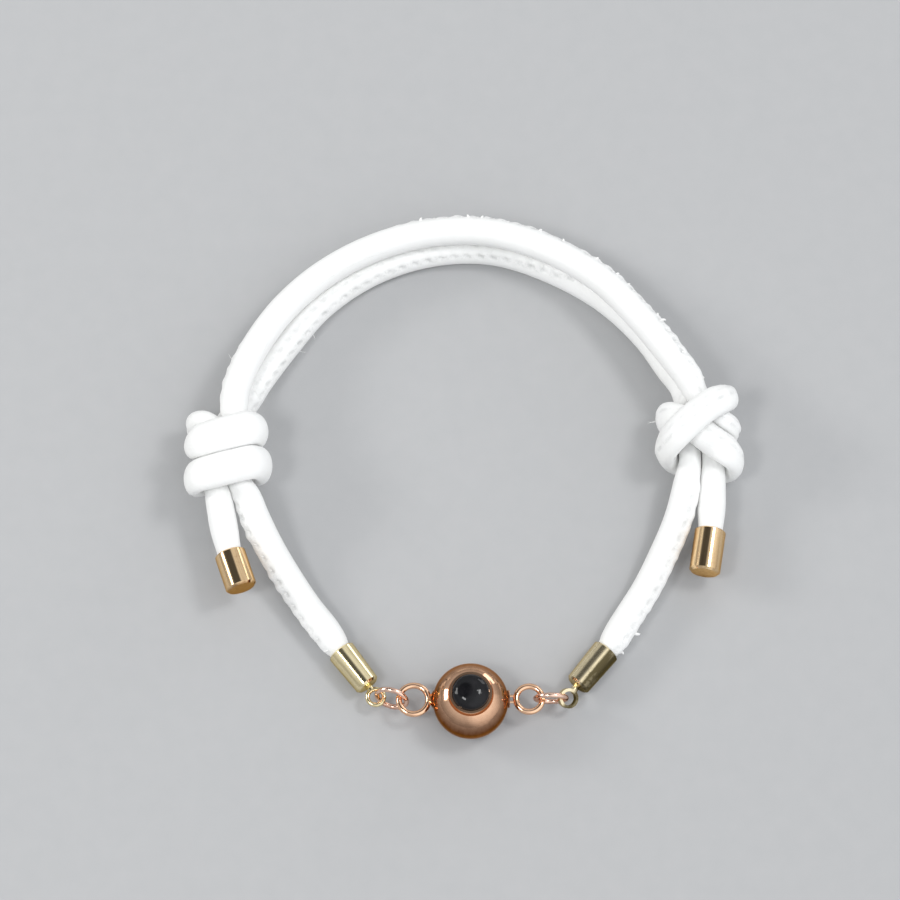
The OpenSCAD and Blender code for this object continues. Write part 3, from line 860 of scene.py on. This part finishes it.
# Every metal gets painted shade towards its bottom, between its low and high heights; the charm's
# keeps to its round body.
FINISH = {
    "long_cap_left": metal(
        "pale_gold_left", (0.93, 0.8, 0.5), (0.36, 0.29, 0.13), LEFT_CAP_WAY,
        rough=0.1, streak=0.06, low=0.2, high=3.2, fleck=0.25),
    "long_cap_right": metal(
        "pale_gold_right", (0.84, 0.72, 0.48), (0.1, 0.08, 0.04), RIGHT_CAP_WAY,
        rough=0.2, streak=0.15, low=0.2, high=2.6, fleck=0.3,
        beside=(RIGHT_CAP_MIDDLE, RIGHT_CAP_SIDE, 0.2, 0.7), banded=0.2),
    "tail_cap_left": metal(
        "rosy_gold_left", ROSY_GOLD, ROSY_SHADE, TAIL_LEFT_WAY,
        rough=0.08, streak=0.08, low=3.6, high=5.6, fleck=0.25,
        beside=(TAIL_LEFT_END, TAIL_LEFT_WAY, -0.35, 0)),
    "tail_cap_right": metal(
        "rosy_gold_right", ROSY_GOLD, ROSY_SHADE, TAIL_RIGHT_WAY,
        rough=0.08, streak=0.08, low=1.8, high=4.0, fleck=0.25),
    "link_left": metal(
        "rose_gold_link", (0.93, 0.66, 0.53), (0.6, 0.33, 0.23), (1, 0, 0),
        rough=0.12, streak=1.0, low=0.2, high=2.4, fleck=0.2),
    "charm": metal(
        "rose_gold_charm", (0.95, 0.6, 0.39), (0.16, 0.06, 0.028), (0, 0, 1),
        rough=0.06, streak=0.3, low=4.8, high=9.3, fleck=0.06, painted_shade_share=0.95,
        within=(CHARM_MIDDLE, CHARM_REACH), banded=0.05, relief=0.0005),
    "stone": black_stone(),
}
FINISH["link_right"] = FINISH["link_left"]


def finish_nodes():
    for name, material in FINISH.items():
        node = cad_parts[name]
        node.data.materials.clear()
        node.data.materials.append(material)


def lay_cords():
    tree = stitch_tree()
    for name, cord, bits, cap, seed in (
            ("cord_left", LEFT, FRAYED_LEFT, "tail_cap_right", 5),
            ("cord_right", RIGHT, FRAYED_RIGHT, "tail_cap_left", 6)):
        piece = cord_tube("leather_" + name, cord)
        piece.data.materials.append(LEATHER)
        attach(piece, "root")
        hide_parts(name)
        stitches = seam_stitches("stitches_" + name, cord, tree, seed)
        loose = frayed("frayed_" + name, cord, bits)
        for sewn in (stitches, loose):
            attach(sewn, "root")
        path = [tuple(p) for p in cord.places[:-2:3] * MM] + [tuple(cord.places[-1] * MM)]


# Floor and light

FLOOR_HALF = 1.2      # metres
LEFT_LAMP_WAY = (-0.862, 0.222, 0.457)


def lay_floor():
    mesh = bpy.data.meshes.new("floor")
    corners = [(x * FLOOR_HALF, y * FLOOR_HALF, 0) for x, y in ((-1, -1), (1, -1), (1, 1), (-1, 1))]
    mesh.from_pydata(corners, [], [(0, 1, 2, 3)])
    mesh.materials.append(pale_floor())
    floor = in_scene("floor", mesh)


def softbox(name, way, distance, size, power, colour=(1, 1, 1)):
    """An area lamp that way from the origin, at that distance in metres, and turned to it."""
    data = bpy.data.lights.new(name, "AREA")
    data.shape = "RECTANGLE"
    data.size, data.size_y = size
    data.energy = power
    data.color = colour
    lamp = in_scene(name, data)
    lamp.location = Vector(way) * distance
    lamp.rotation_euler = (-lamp.location).to_track_quat("-Z", "Y").to_euler()


def light_scene():
    """Three lamps above, where the stone's reflections put them, the left one with a brighter
    core, and a dim one low at the back right, under a sky that is dim at its edge and bright at
    the front right, with a dark patch left of the top that the metal shows as dark stripes."""
    softbox("left_lamp", LEFT_LAMP_WAY, 0.75, (0.3, 0.2), 1.55, (1, 0.99, 0.97))
    softbox("left_core", LEFT_LAMP_WAY, 0.74, (0.06, 0.05), 0.3, (1, 0.99, 0.97))
    softbox("top_lamp", (-0.415, -0.29, 0.862), 0.75, (0.18, 0.15), 1.2)
    softbox("right_lamp", (0.499, 0.159, 0.85), 0.75, (0.19, 0.16), 1.3)
    softbox("far_lamp", (0.59, 0.766, 0.254), 0.9, (0.4, 0.25), 0.8, (0.97, 0.98, 1))
    world = bpy.data.worlds.new("studio")
    world.use_nodes = True
    tree = world.node_tree
    place = add_node(tree, "ShaderNodeTexCoord").outputs["Generated"]
    height = add_node(tree, "ShaderNodeSeparateXYZ", None, {0: place}).outputs["Z"]

    def toned(value, low, high, at_low, at_high):
        """at_low where the value is low, at_high where it is high, smooth between."""
        return add_node(tree, "ShaderNodeMapRange", {"interpolation_type": "SMOOTHSTEP"}, {
            "Value": value, "From Min": low, "From Max": high,
            "To Min": at_low, "To Max": at_high}).outputs[0]

    def towards(way, low, high, at_low, at_high):
        """The same for how nearly a direction of the sky is that way, 1 being just so."""
        nearness = add_node(tree, "ShaderNodeVectorMath", {"operation": "DOT_PRODUCT"},
                            {0: place, 1: Vector(way).normalized()}).outputs["Value"]
        return toned(nearness, low, high, at_low, at_high)

    strength = add_node(tree, "ShaderNodeMath", {"operation": "MULTIPLY_ADD"}, {
        0: toned(height, 0.02, 0.8, 0.48, 0.83),
        1: towards((-0.38, 0.28, 0.88), 0.84, 0.94, 1, 0.1),
        2: towards((0.7, -0.5, 0.5), 0.5, 0.95, 0, 0.55)})
    sky = tree.nodes["Background"]
    sky.inputs["Color"].default_value = (0.95, 0.97, 1.0, 1)
    tree.links.new(strength.outputs[0], sky.inputs["Strength"])
    scene.world = world
    scene.view_settings.view_transform = "Standard"


place_camera()
lay_cords()
finish_nodes()
lay_floor()
light_scene()
